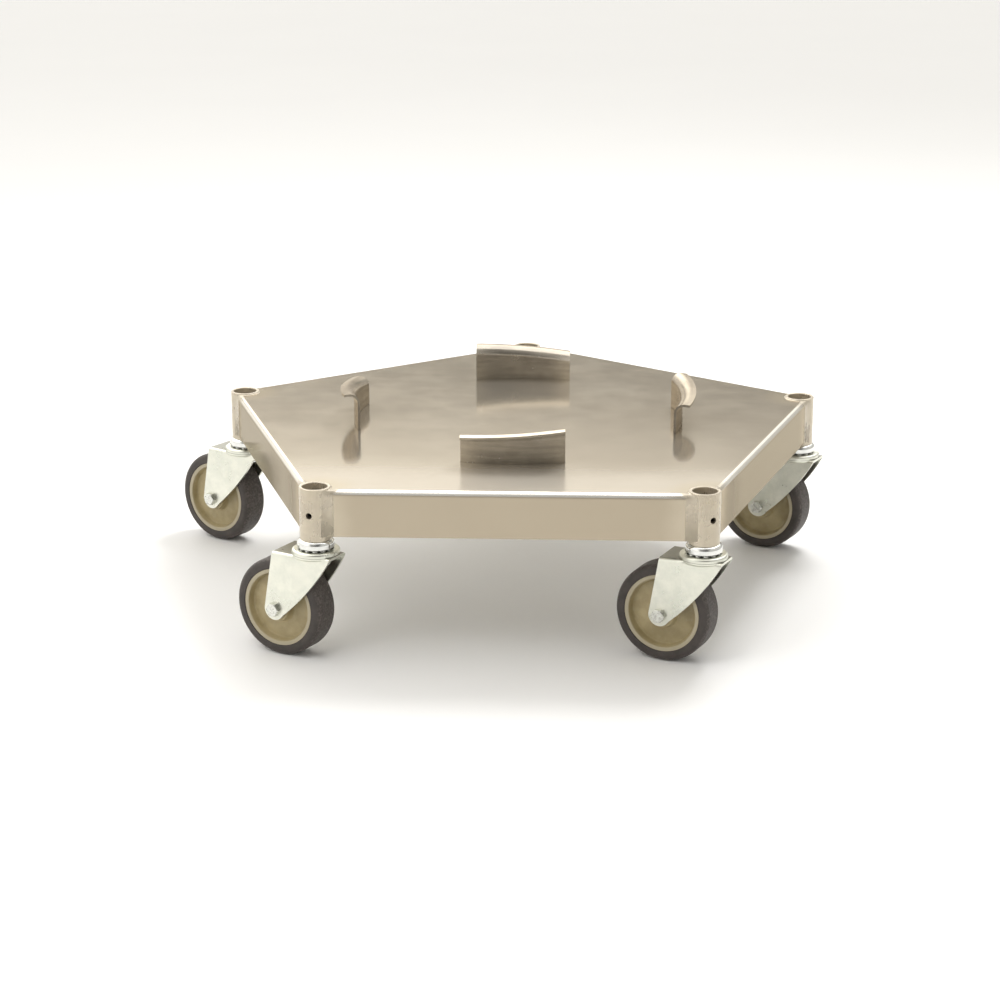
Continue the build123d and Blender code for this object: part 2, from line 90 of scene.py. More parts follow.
class Paint:
    """A node material with a Principled surface, and short names for the nodes it is made of."""

    def __init__(self, name, metallic=0.0, **constants):
        self.material = bpy.data.materials.new(name)
        self.material.use_nodes = True
        self.tree = self.material.node_tree
        self.tree.nodes.clear()
        self.surface = self.node("ShaderNodeBsdfPrincipled")
        output = self.node("ShaderNodeOutputMaterial")
        self.tree.links.new(self.surface.outputs[0], output.inputs["Surface"])
        self.surface.inputs["Metallic"].default_value = metallic
        for socket, value in constants.items():
            self.surface.inputs[socket.replace("_", " ")].default_value = value
        self.place = self.node("ShaderNodeTexCoord").outputs["Object"]

    def node(self, kind, **settings):
        made = self.tree.nodes.new(kind)
        for key, value in settings.items():
            setattr(made, key, value)
        return made

    def plug(self, socket, value):
        """Link a socket, or set it where the value is a constant."""
        if isinstance(value, bpy.types.NodeSocket):
            self.tree.links.new(value, socket)
        else:
            socket.default_value = value

    def math(self, operation, first, second=0.0):
        made = self.node("ShaderNodeMath", operation=operation)
        self.plug(made.inputs[0], first)
        self.plug(made.inputs[1], second)
        return made.outputs[0]

    def vector(self, operation, first, second=(0, 0, 0)):
        made = self.node("ShaderNodeVectorMath", operation=operation)
        self.plug(made.inputs[0], first)
        self.plug(made.inputs[1], second)
        scalar = operation in ("DISTANCE", "DOT_PRODUCT", "LENGTH")
        return made.outputs["Value" if scalar else "Vector"]

    def noise(self, scale, detail=3.0, stretch=(1, 1, 1), rough=0.55, shift=(0, 0, 0)):
        """Noise of so many cycles per metre, 0 to 1, drawn out along an axis whose stretch is under 1."""
        placed = self.vector("MULTIPLY", self.vector("ADD", self.place, shift), stretch)
        made = self.node("ShaderNodeTexNoise")
        self.plug(made.inputs["Vector"], placed)
        made.inputs["Scale"].default_value = scale
        made.inputs["Detail"].default_value = detail
        made.inputs["Roughness"].default_value = rough
        return made.outputs["Fac"]

    def fade(self, value, low, high, start=0.0, end=1.0):
        """start below low, end above high, and a smooth step between."""
        made = self.node("ShaderNodeMapRange", interpolation_type="SMOOTHSTEP")
        self.plug(made.inputs["Value"], value)
        made.inputs["From Min"].default_value = low
        made.inputs["From Max"].default_value = high
        made.inputs["To Min"].default_value = start
        made.inputs["To Max"].default_value = end
        return made.outputs[0]

    def blend(self, share, first, second):
        """Colour that goes from first to second as share goes from 0 to 1."""
        made = self.node("ShaderNodeMix", data_type="RGBA")
        self.plug(made.inputs["Factor"], share)
        for socket, value in ((made.inputs[6], first), (made.inputs[7], second)):
            self.plug(socket, value if isinstance(value, bpy.types.NodeSocket) else (*value, 1))
        return made.outputs[2]

    def scale(self, value, factor):
        """A value times a constant."""
        return self.math("MULTIPLY", value, factor)

    def bump(self, height, depth, strength=1.0, under=None):
        """Bump of that depth in metres; under is a bump below it."""
        made = self.node("ShaderNodeBump")
        made.inputs["Strength"].default_value = strength
        made.inputs["Distance"].default_value = depth
        self.plug(made.inputs["Height"], height)
        if under is not None:
            self.plug(made.inputs["Normal"], under)
        return made.outputs[0]

    def axis(self, name):
        """One coordinate of the place, in metres."""
        split = self.node("ShaderNodeSeparateXYZ")
        self.plug(split.inputs[0], self.place)
        return split.outputs[name]

    def finish(self, colour, roughness, normal=None):
        """Plug the surface in and hand over the material."""
        self.plug(self.surface.inputs["Base Color"], colour)
        self.plug(self.surface.inputs["Roughness"], roughness)
        if normal is not None:
            self.plug(self.surface.inputs["Normal"], normal)
        return self.material


# Where the finishes and the painted light and shade change on the deck pan
GROUND_REACH = (0.032, 0.058)    # from a socket's axis, where the grinding round its welds fades out
SCUFFED_LIT_FRONT = (-0.235, -0.135)  # Y, from the front, rough from scuffing and with painted light on it, to polished
FLANK_SIDE = (0.205, 0.225)      # distance to a side from which a skirt counts as a flank, with painted shade
FLANK_BACK = (0.09, 0.13)        # Y, past which it no longer does

# Colours of the finishes and of the painted light and shade, linear
STAINLESS = (0.52, 0.46, 0.365)
STAINLESS_DARK = (0.42, 0.37, 0.31)
STAINLESS_GROUND = (0.60, 0.535, 0.42)
STAINLESS_GRAZED = (0.75, 0.70, 0.62, 1)     # tint of the sheet's reflection at a grazing view
DECK_LIGHT = (0.56, 0.52, 0.45)
DECK_DARK = (0.50, 0.46, 0.395)
# painted light: a lighter tone on the front of the deck
DECK_FRONT_PAINTED_LIGHT = (0.74, 0.685, 0.60)
# painted highlight along the bend between deck and skirt
BEND_PAINTED_HIGHLIGHT = (0.98, 0.96, 0.91)
# painted shade and reflection: the upright skirts darker and warmer than the deck top
SKIRT_SHADED_TAN = (0.48, 0.415, 0.315)
# deeper painted shade on the side skirts
FLANK_PAINTED_SHADE = (0.31, 0.275, 0.215)
CLEAT_LIGHT = (0.53, 0.485, 0.41)
CLEAT_DARK = (0.41, 0.37, 0.315)
CLEAT_GRAZED = (0.82, 0.75, 0.65, 1)
HEAT_TINT = (0.50, 0.42, 0.29)
ZINC_DULL = (0.68, 0.69, 0.61)
ZINC_PALE = (0.80, 0.80, 0.71)
ZINC_SPECK = (0.55, 0.56, 0.50)
# painted shade on the forks' top plates
ZINC_PLATE_SHADE = (0.17, 0.165, 0.135)
RACE_HAZY = (0.70, 0.71, 0.69)
RACE_BRIGHT = (0.84, 0.84, 0.81)
STEM_BROWN = (0.20, 0.17, 0.14)
STEM_GREY = (0.42, 0.38, 0.32)
PIN_BLACK = (0.045, 0.038, 0.032)
PIN_WORN = (0.13, 0.11, 0.09)
FASTENER_HAZY = (0.60, 0.60, 0.56)
FASTENER_BRIGHT = (0.74, 0.75, 0.70)
ACETAL_DULL = (0.68, 0.65, 0.56)
ACETAL_PALE = (0.78, 0.75, 0.68)
CORE_OLIVE = (0.31, 0.25, 0.13)
CORE_TAN = (0.43, 0.355, 0.20)
# painted light on the cores' rim rings
CORE_RIM_HIGHLIGHT = (0.42, 0.37, 0.26)
CORE_DUST = (0.42, 0.37, 0.28)
TREAD_DARK = (0.050, 0.043, 0.039)
TREAD_GREY = (0.075, 0.064, 0.058)
TREAD_DUST = (0.22, 0.19, 0.17)
FLOOR_DULL = (0.90, 0.90, 0.895)
FLOOR_PALE = (0.92, 0.92, 0.915)


def near_socket(paint):
    """Distance in the floor plane to the nearest socket's axis."""
    flat = paint.vector("MULTIPLY", paint.place, (1, 1, 0))
    nearest = None
    for corner in CORNERS:
        distance = paint.vector("DISTANCE", flat, tuple(socket_axis(corner)))
        nearest = distance if nearest is None else paint.math("MINIMUM", nearest, distance)
    return nearest


def stainless_deck():
    """Polished rolled sheet, hazier where drums slide on at the front, brushed near the welds; painted
    light on the front, a painted highlight on the bend and painted shade on the skirts.
    """
    paint = Paint("stainless_deck", Specular_IOR_Level=0.0, Specular_Tint=STAINLESS_GRAZED)
    x, y, z = (paint.axis(name) for name in "XYZ")
    clouds = paint.noise(9, 4)
    streaks = paint.noise(260, 5, stretch=(0.05, 1, 1), rough=0.7)
    hairlines = paint.noise(1900, 3, stretch=(0.03, 1, 1))
    smudges = paint.noise(22, 5, shift=(3, 1, 0), rough=0.65)
    scratch = paint.noise(700, 4, stretch=(1, 1, 0.08), shift=(0, 5, 2))

    # Where each finish and each painted light and shade lies: 1 inside it, 0 outside
    ground_edge = paint.math("ADD", near_socket(paint), paint.scale(smudges, 0.022))
    ground = paint.fade(ground_edge, *GROUND_REACH, 1.0, 0.0)
    # The front: rougher and less metallic from scuffing, and painted lighter as light falling there
    scuffed_lit_front_edge = paint.math("ADD", y, paint.scale(smudges, 0.03))
    scuffed_lit_front = paint.fade(scuffed_lit_front_edge, *SCUFFED_LIT_FRONT, 1.0, 0.0)
    # The skirts: the deck's own sheet, given painted shade and reflection
    skirt = paint.fade(z, DECK_TOP - 0.8 * BEND_RADIUS, DECK_TOP - 0.4 * BEND_RADIUS, 1.0, 0.0)
    # Flanks: the side skirts, which get deeper painted shade
    beside = paint.fade(paint.math("ABSOLUTE", x), *FLANK_SIDE)
    flank = paint.math("MULTIPLY", beside, paint.fade(y, *FLANK_BACK, 1.0, 0.0))
    # The bend: a painted highlight in its colour, and more metallic
    below_deck = paint.fade(z, DECK_TOP - 0.12 * MM, DECK_TOP - 0.02 * MM, 1.0, 0.0)
    bend = paint.math("MULTIPLY", below_deck, paint.math("SUBTRACT", 1.0, skirt))

    colour = paint.blend(paint.fade(clouds, 0.35, 0.7), DECK_DARK, DECK_LIGHT)
    colour = paint.blend(paint.scale(paint.fade(streaks, 0.3, 0.75), 0.3), colour, DECK_DARK)
    # painted light on the front of the deck
    colour = paint.blend(paint.scale(scuffed_lit_front, 0.4), colour, DECK_FRONT_PAINTED_LIGHT)
    # painted shade and reflection on the skirts, deeper painted shade on the flanks
    colour = paint.blend(skirt, colour, paint.blend(flank, SKIRT_SHADED_TAN, FLANK_PAINTED_SHADE))
    # painted highlight on the bend
    colour = paint.blend(bend, colour, BEND_PAINTED_HIGHLIGHT)
    colour = paint.blend(paint.scale(ground, 0.6), colour, STAINLESS_GROUND)

    metallic = paint.math("MAXIMUM", paint.fade(scuffed_lit_front, 0.0, 1.0, 0.82, 0.52), paint.scale(bend, 0.9))
    paint.plug(paint.surface.inputs["Metallic"], metallic)
    roughness = paint.fade(smudges, 0.3, 0.75, 0.115, 0.15)
    roughness = paint.math("ADD", roughness, paint.scale(scuffed_lit_front, 0.06))
    roughness = paint.math("ADD", roughness, paint.fade(streaks, 0.35, 0.8, 0.0, 0.02))
    waves = paint.bump(paint.noise(5, 1), 1.0 * MM, 0.07)
    grain = paint.bump(hairlines, 0.004 * MM, 0.4, under=waves)
    brushed = paint.bump(paint.math("MULTIPLY", scratch, ground), 0.02 * MM, 0.6, under=grain)
    return paint.finish(colour, roughness, brushed)


def brushed_stainless(name, metallic):
    """Socket tubes and blended welds: brushed, with a faint heat tint."""
    paint = Paint(name, metallic=metallic)
    scratch = paint.noise(300, 3, stretch=(1, 1, 0.06))
    cross_marks = paint.noise(240, 3, stretch=(0.2, 0.2, 1), shift=(1, 0, 4))
    patches = paint.noise(60, 3, shift=(0, 2, 1))
    heat = paint.noise(45, 2, shift=(2, 2, 2))
    colour = paint.blend(paint.fade(patches, 0.3, 0.7), STAINLESS, STAINLESS_GROUND)
    colour = paint.blend(paint.scale(paint.fade(heat, 0.55, 0.75), 0.3), colour, HEAT_TINT)
    colour = paint.blend(paint.scale(paint.fade(cross_marks, 0.4, 0.7), 0.15), colour, STAINLESS_DARK)
    roughness = paint.fade(patches, 0.3, 0.7, 0.24, 0.36)
    roughness = paint.math("ADD", roughness, paint.fade(scratch, 0.35, 0.7, -0.02, 0.03))
    return paint.finish(colour, roughness)


def stainless_cleat():
    """Rolled cleats: smooth satin sheet with faint level streaks and a few soft scuffs."""
    paint = Paint("stainless_cleat", 0.85, Specular_IOR_Level=0.0, Specular_Tint=CLEAT_GRAZED)
    streaks = paint.noise(24, 4, stretch=(1, 1, 9), rough=0.6)
    scuffs = paint.noise(60, 3, shift=(0, 4, 1))
    colour = paint.blend(paint.fade(streaks, 0.3, 0.7), CLEAT_DARK, CLEAT_LIGHT)
    return paint.finish(colour, paint.fade(scuffs, 0.3, 0.75, 0.18, 0.28))


def weld_metal():
    """Small unground weld beads: dull, straw and brown heat colours."""
    paint = Paint("weld_metal", metallic=1.0)
    tint = paint.noise(160, 3)
    colour = paint.blend(paint.fade(tint, 0.35, 0.65), STAINLESS_DARK, HEAT_TINT)
    roughness = paint.fade(tint, 0.3, 0.7, 0.28, 0.42)
    return paint.finish(colour, roughness, paint.bump(paint.noise(1500, 2), 0.03 * MM, 0.6))


def zinc_fork():
    """Pale zinc plate, faintly green, cloudy, with fine pressing marks and painted shade on the top plate
    round the races.
    """
    paint = Paint("zinc_fork", metallic=1.0)
    height = paint.axis("Z")
    clouds = paint.noise(55, 4, rough=0.6)
    specks = paint.noise(900, 2, shift=(1, 3, 2))
    draw_marks = paint.noise(420, 4, stretch=(1, 1, 0.15), shift=(5, 0, 0))
    # The top plate beside the races, darkened as painted shade
    plate_from = paint.fade(height, FORK_TOP - 0.4 * MM, FORK_TOP - 0.1 * MM)
    plate_to = paint.fade(height, FORK_TOP + 0.1 * MM, FORK_TOP + 0.3 * MM, 1.0, 0.0)
    shaded_plate_top = paint.math("MULTIPLY", plate_from, plate_to)
    colour = paint.blend(paint.fade(clouds, 0.32, 0.68), ZINC_DULL, ZINC_PALE)
    colour = paint.blend(paint.scale(paint.fade(specks, 0.6, 0.8), 0.12), colour, ZINC_SPECK)
    colour = paint.blend(paint.scale(shaded_plate_top, 0.85), colour, ZINC_PLATE_SHADE)
    roughness = paint.fade(clouds, 0.3, 0.7, 0.26, 0.40)
    marks = paint.bump(draw_marks, 0.008 * MM, 0.4)
    return paint.finish(colour, roughness, paint.bump(specks, 0.004 * MM, 0.3, under=marks))


def bright_race():
    """Bright plated races and balls with a few fine turning rings."""
    paint = Paint("bright_race", metallic=1.0)
    rings = paint.noise(1600, 2, stretch=(0.02, 0.02, 1))
    haze = paint.noise(90, 3)
    colour = paint.blend(paint.fade(haze, 0.3, 0.7), RACE_HAZY, RACE_BRIGHT)
    roughness = paint.fade(haze, 0.3, 0.75, 0.09, 0.19)
    return paint.finish(colour, roughness, paint.bump(rings, 0.006 * MM, 0.5))


def stem_steel():
    """Turned stem ends, dull and a little brown."""
    paint = Paint("stem_steel", metallic=1.0)
    stain = paint.noise(140, 4)
    colour = paint.blend(paint.fade(stain, 0.3, 0.7), STEM_BROWN, STEM_GREY)
    roughness = paint.fade(stain, 0.3, 0.7, 0.32, 0.48)
    return paint.finish(colour, roughness, paint.bump(paint.noise(1400, 3), 0.02 * MM, 0.5))


def dark_pin():
    """Blackened spring pins, worn on their high spots."""
    paint = Paint("dark_pin", metallic=1.0)
    wear = paint.noise(400, 3)
    colour = paint.blend(paint.fade(wear, 0.4, 0.75), PIN_BLACK, PIN_WORN)
    roughness = paint.fade(wear, 0.3, 0.7, 0.42, 0.55)
    return paint.finish(colour, roughness, paint.bump(wear, 0.02 * MM, 0.4))


def zinc_fastener():
    """Bolt heads, nuts and sleeves: brighter zinc with handling marks."""
    paint = Paint("zinc_fastener", metallic=1.0)
    haze = paint.noise(300, 3)
    colour = paint.blend(paint.fade(haze, 0.3, 0.7), FASTENER_HAZY, FASTENER_BRIGHT)
    roughness = paint.fade(haze, 0.3, 0.7, 0.22, 0.34)
    return paint.finish(colour, roughness, paint.bump(paint.noise(1800, 2), 0.003 * MM, 0.3))


def acetal():
    """Plain off-white bearing plastic."""
    paint = Paint("acetal_bearing")
    clouds = paint.noise(200, 3)
    colour = paint.blend(clouds, ACETAL_DULL, ACETAL_PALE)
    return paint.finish(colour, 0.42, paint.bump(clouds, 0.02 * MM, 0.3))


def from_axle(paint, corner):
    """Distance from a wheel's axle line."""
    offset = paint.vector("SUBTRACT", paint.place, tuple(wheel_centre(corner)))
    along = paint.vector("DOT_PRODUCT", offset, tuple(axle_direction(corner)))
    length = paint.vector("LENGTH", offset)
    square = paint.math("SUBTRACT", paint.math("POWER", length, 2), paint.math("POWER", along, 2))
    return paint.math("SQRT", paint.math("MAXIMUM", square, 0.0))


def tan_core(corner):
    """Moulded tan core: a painted highlight on the rim ring, which leaves the olive dish darker, fine
    mould texture.
    """
    paint = Paint(f"tan_core_{corner}", Specular_IOR_Level=0.45)
    clouds = paint.noise(45, 4, rough=0.6)
    dust = paint.noise(150, 5, rough=0.7)
    colour = paint.blend(paint.fade(clouds, 0.3, 0.7), CORE_OLIVE, CORE_TAN)
    # painted light on the rim ring
    colour = paint.blend(paint.fade(from_axle(paint, corner), *CORE_RIM), colour, CORE_RIM_HIGHLIGHT)
    colour = paint.blend(paint.scale(paint.fade(dust, 0.5, 0.8), 0.25), colour, CORE_DUST)
    roughness = paint.fade(clouds, 0.3, 0.7, 0.36, 0.50)
    return paint.finish(colour, roughness, paint.bump(paint.noise(1200, 3), 0.04 * MM, 0.5))


def grey_tread(corner):
    """Grey rubber: mould lines round the side walls, dusty running surface, small scuffs."""
    paint = Paint(f"grey_tread_{corner}", Specular_IOR_Level=0.35)
    radius = from_axle(paint, corner)
    clouds = paint.noise(60, 5, rough=0.65)
    scuffs = paint.noise(420, 4, rough=0.7, shift=(2, 0, 1))
    worn = paint.math("MULTIPLY", paint.fade(radius, *TREAD_SHOULDER), paint.fade(scuffs, 0.4, 0.75))
    colour = paint.blend(paint.fade(clouds, 0.3, 0.7), TREAD_DARK, TREAD_GREY)
    colour = paint.blend(paint.scale(worn, 0.55), colour, TREAD_DUST)
    roughness = paint.fade(clouds, 0.3, 0.7, 0.50, 0.66)
    inner, outer = SIDE_WALL
    soft = 0.5 * MM
    lines = paint.math("SINE", paint.scale(radius, 2 * pi / MOULD_LINE_PITCH))
    lines = paint.math("MULTIPLY", lines, paint.fade(radius, inner - soft, inner + soft))
    lines = paint.math("MULTIPLY", lines, paint.fade(radius, outer - soft, outer + soft, 1.0, 0.0))
    moulded = paint.bump(lines, 0.05 * MM, 0.5)
    return paint.finish(colour, roughness, paint.bump(scuffs, 0.06 * MM, 0.6, under=moulded))


def pale_floor():
    """Plain matt studio floor, very faintly cloudy."""
    paint = Paint("studio_floor")
    return paint.finish(paint.blend(paint.noise(2, 2), FLOOR_DULL, FLOOR_PALE), 0.75)


# ------------------------------------------------------------------ mesh helpers


def mesh_object(name, vertices, faces, material, smooth=True):
    """Object with this mesh and material, its faces turned outwards."""
    mesh = bpy.data.meshes.new(name)
    mesh.from_pydata([tuple(vertex) for vertex in vertices], [], faces)
    mesh.validate()
    made = bpy.data.objects.new(name, mesh)
    bpy.context.scene.collection.objects.link(made)
    clean = bmesh.new()
    clean.from_mesh(mesh)
    bmesh.ops.recalc_face_normals(clean, faces=clean.faces)
    clean.to_mesh(mesh)
    clean.free()
    mesh.polygons.foreach_set("use_smooth", [smooth] * len(mesh.polygons))
    mesh.materials.append(material)
    return made


def swept(name, sections, material):
    """Skin of equal-length closed sections, capped at both ends."""
    count = len(sections[0])
    vertices = [point for section in sections for point in section]
    faces = []
    for near in range(0, len(vertices) - count, count):
        for step in range(count):
            following = (step + 1) % count
            far = near + count
            faces.append((near + step, near + following, far + following, far + step))
    faces.append(tuple(range(count)))
    faces.append(tuple(reversed(range(len(vertices) - count, len(vertices)))))
    return mesh_object(name, vertices, faces, material)


def heading(angle):
    """Level direction at an angle in degrees from +X."""
    return Vector((cos(radians(angle)), sin(radians(angle)), 0))


def outward_angle(corner):
    """Angle in degrees at which a corner's socket stands."""
    axis = socket_axis(corner)
    return degrees(atan2(axis.y, axis.x))


# ------------------------------------------------------------------ welds


WELD_ROUND = 28 * MM             # radius of the hollow of a blended weld
WELD_SINK = 0.35 * MM            # how far a blended weld goes into the metal behind it
WELD_LIFT = 0.2 * MM             # how far it stays above the skirt's lower edge
SKIRT_TURN = 36                  # angle of a skirt's face from its corner's outward direction
RIM_LEG = 1.3 * MM
RIM_START, RIM_SWEEP = 95, 170   # stretch of a tube's rim on the deck, from the outward direction
BEAD_HALF_WIDTH = 3.4 * MM
BEAD_DEPTH = 1.5 * MM
BEAD_OVERRUN = 0.6               # degrees by which a bead goes past each end of its slot
BEAD_TIP, BEAD_GROWTH = 0.25, 20         # share of its full size at an end, and growth from there
RIPPLE_LENGTH, RIPPLE_SHARE = 1.8 * MM, 0.07
SMALL_SINK = 0.3 * MM            # how far a bead or a rim weld goes into the metal behind it


def skirt_offset(height):
    """How far the skirt's outer face stands from the socket's axis at a height, round the bend."""
    bend_start = DECK_TOP - BEND_RADIUS
    if height <= bend_start:
        return SKIRT_OUTSET
    rise = min(height - bend_start, BEND_RADIUS)
    return SKIRT_OUTSET - BEND_RADIUS + sqrt(BEND_RADIUS**2 - rise**2)


def weld_section(axis, normal, along, height):
    """Ground weld between skirt and tube at one height: a hollow round, tangent to both."""
    skirt = skirt_offset(height)
    reach = sqrt((SOCKET_RADIUS + WELD_ROUND) ** 2 - (skirt + WELD_ROUND) ** 2)
    centre = axis + normal * (skirt + WELD_ROUND) + along * reach
    on_skirt = -pi
    on_tube = atan2(-reach, -(skirt + WELD_ROUND))
    steps = 10
    points = []
    for step in range(steps + 1):
        angle = on_skirt + (on_tube - on_skirt) * step / steps
        points.append(centre + normal * (cos(angle) * WELD_ROUND) + along * (sin(angle) * WELD_ROUND))
    meet = sqrt(SOCKET_RADIUS**2 - skirt**2)
    tube_point = points[-1] - axis
    points.append(axis + tube_point * (1 - WELD_SINK / SOCKET_RADIUS))
    points.append(axis + normal * (skirt - WELD_SINK) + along * (meet - WELD_SINK))
    points.append(points[0] - normal * WELD_SINK)
    for point in points:
        point.z = height
    return points


def corner_welds(corner, material):
    """The two blended welds, one to each skirt, of a corner's socket."""
    axis = socket_axis(corner)
    bend_start = DECK_TOP - BEND_RADIUS
    bend_steps = 6
    levels = [DECK_BOTTOM + WELD_LIFT, bend_start]
    for step in range(1, bend_steps + 1):
        levels.append(bend_start + BEND_RADIUS * sin(pi / 2 * step / bend_steps))
    for side, turn in (("a", 1), ("b", -1)):
        facing = outward_angle(corner) + SKIRT_TURN * turn
        normal = heading(facing)
        along = heading(facing + 90 * turn)
        sections = [weld_section(axis, normal, along, height) for height in levels]
        weld = swept(f"corner_weld_{corner}_{side}", sections, material)
        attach(weld, "frame")


def rim_weld(corner, material):
    """Low fillet where the tube's rim stands out of the deck."""
    axis = socket_axis(corner)
    buried = SOCKET_RADIUS - SMALL_SINK
    profile = [(buried, DECK_TOP - SMALL_SINK), (buried, DECK_TOP + RIM_LEG)]
    round_steps = 4
    for step in range(round_steps + 1):
        angle = pi / 2 * step / round_steps
        out = SOCKET_RADIUS + RIM_LEG - RIM_LEG * cos(angle)
        up = DECK_TOP + RIM_LEG - RIM_LEG * sin(angle)
        profile.append((out, up))
    profile.append((SOCKET_RADIUS + RIM_LEG, DECK_TOP - SMALL_SINK))
    steps = 36
    sections = []
    for step in range(steps + 1):
        direction = heading(outward_angle(corner) + RIM_START + RIM_SWEEP * step / steps)
        sections.append([axis + direction * out + Vector((0, 0, up)) for out, up in profile])
    weld = swept(f"rim_weld_{corner}", sections, material)
    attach(weld, "frame")


def cleat_weld(side, material):
    """Rippled bead under the deck, over the foot of a cleat in its slot."""
    half_angle = CLEAT_HALF_ANGLE + BEAD_OVERRUN
    ripples = int(2 * radians(half_angle) * CLEAT_RADIUS / RIPPLE_LENGTH)
    steps = ripples * 4
    arc_steps = 8
    outward = heading(CLEATS[side])
    under = DECK_TOP - SHEET
    sections = []
    for step in range(steps + 1):
        share = step / steps
        direction = heading(CLEATS[side] + (2 * share - 1) * half_angle)
        middle = direction * CLEAT_RADIUS + outward * SHEET / 2
        ripple = 1 - RIPPLE_SHARE + RIPPLE_SHARE * cos(2 * pi * ripples * share)
        taper = min(1.0, BEAD_TIP + BEAD_GROWTH * min(share, 1 - share))
        half_width = BEAD_HALF_WIDTH * ripple * taper
        depth = BEAD_DEPTH * ripple * taper
        section = []
        for turn in range(arc_steps + 1):
            angle = pi * turn / arc_steps
            lowered = Vector((0, 0, under - depth * sin(angle)))
            section.append(middle + outward * (half_width * cos(angle)) + lowered)
        buried = Vector((0, 0, under + SMALL_SINK))
        section.append(middle - outward * half_width + buried)
        section.append(middle + outward * half_width + buried)
        sections.append(section)
    weld = swept(f"cleat_weld_{side}", sections, material)
    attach(weld, "frame")


# ------------------------------------------------------------------ materials onto the CAD nodes


def dress(node, material):
    """Give a CAD node its material."""
    piece = frame["nodes"][node]
    piece.data.materials.clear()
    piece.data.materials.append(material)


deck_metal = stainless_deck()
tube_metal = brushed_stainless("stainless_tube", 0.6)
weld_blend_metal = brushed_stainless("stainless_weld", 0.3)
cleat_metal = stainless_cleat()
bead_metal = weld_metal()
zinc = zinc_fork()
race_metal = bright_race()
fastener_metal = zinc_fastener()
stem_metal = stem_steel()
bearing_plastic = acetal()

dress("deck_pan", deck_metal)
dress("stem_lock_pins", dark_pin())
dress("lower_races", race_metal)
dress("bearing_balls", race_metal)
for side in CLEATS:
    dress(f"cleat_{side}", cleat_metal)
    cleat_weld(side, bead_metal)
for corner in CORNERS:
    dress(f"socket_{corner}", tube_metal)
    dress(f"caster_stem_{corner}", stem_metal)
    dress(f"top_race_{corner}", race_metal)
    dress(f"fork_{corner}", zinc)
    dress(f"axle_bolt_{corner}", fastener_metal)
    dress(f"axle_nut_{corner}", fastener_metal)
    dress(f"axle_sleeve_{corner}", fastener_metal)
    dress(f"wheel_bearing_{corner}", bearing_plastic)
    dress(f"wheel_core_{corner}", tan_core(corner))
    dress(f"wheel_tread_{corner}", grey_tread(corner))
    corner_welds(corner, weld_blend_metal)
    rim_weld(corner, tube_metal)

# ------------------------------------------------------------------ floor, light and camera


FLOOR_REACH = 20
FLOOR_CORNERS = [(-1, -1), (1, -1), (1, 1), (-1, 1)]


def studio():
    """Level floor under the wheels."""
    corners = [(x * FLOOR_REACH, y * FLOOR_REACH, 0) for x, y in FLOOR_CORNERS]
    floor = mesh_object("studio_floor", corners, [(0, 1, 2, 3)], pale_floor(), smooth=False)


# Stops of the surround: sine of the elevation, then colour
BEHIND_STOPS = (
    (0.000, (0.46, 0.450, 0.428)),
    (0.120, (0.42, 0.410, 0.390)),
    (0.190, (0.10, 0.098, 0.093)),
    (0.258, (0.10, 0.098, 0.093)),
    (0.292, (0.76, 0.742, 0.705)),
    (0.400, (0.92, 0.900, 0.860)),
    (0.600, (0.95, 0.930, 0.890)),
    (0.800, (0.52, 0.510, 0.485)),
    (1.000, (0.36, 0.350, 0.335)),
)
BEFORE_STOPS = (
    (0.00, (0.40, 0.385, 0.36)),
    (0.10, (0.26, 0.250, 0.24)),
    (0.18, (0.08, 0.077, 0.073)),
    (0.36, (0.08, 0.077, 0.073)),
    (0.50, (0.10, 0.098, 0.093)),
    (0.75, (0.18, 0.176, 0.168)),
    (1.00, (0.36, 0.350, 0.335)),
)
FLANK_STOPS = (
    (0.00, (0.36, 0.352, 0.335)),
    (0.35, (0.46, 0.450, 0.430)),
    (1.00, (0.44, 0.430, 0.410)),
)
BEHIND_FROM, BEHIND_TO = -0.55, 0.35     # +Y part of a direction, from all before to all behind
FLANK_FROM, FLANK_TO = 0.30, 0.65        # sideways part of a direction, from no flank to all flank
FALLOFF_FROM, FALLOFF_TO = -0.16, 0.14   # +X part of a direction, from the bright left to the right
LEFT_GAIN, RIGHT_GAIN = 1.32, 0.66
WORLD_STRENGTH = 2.3


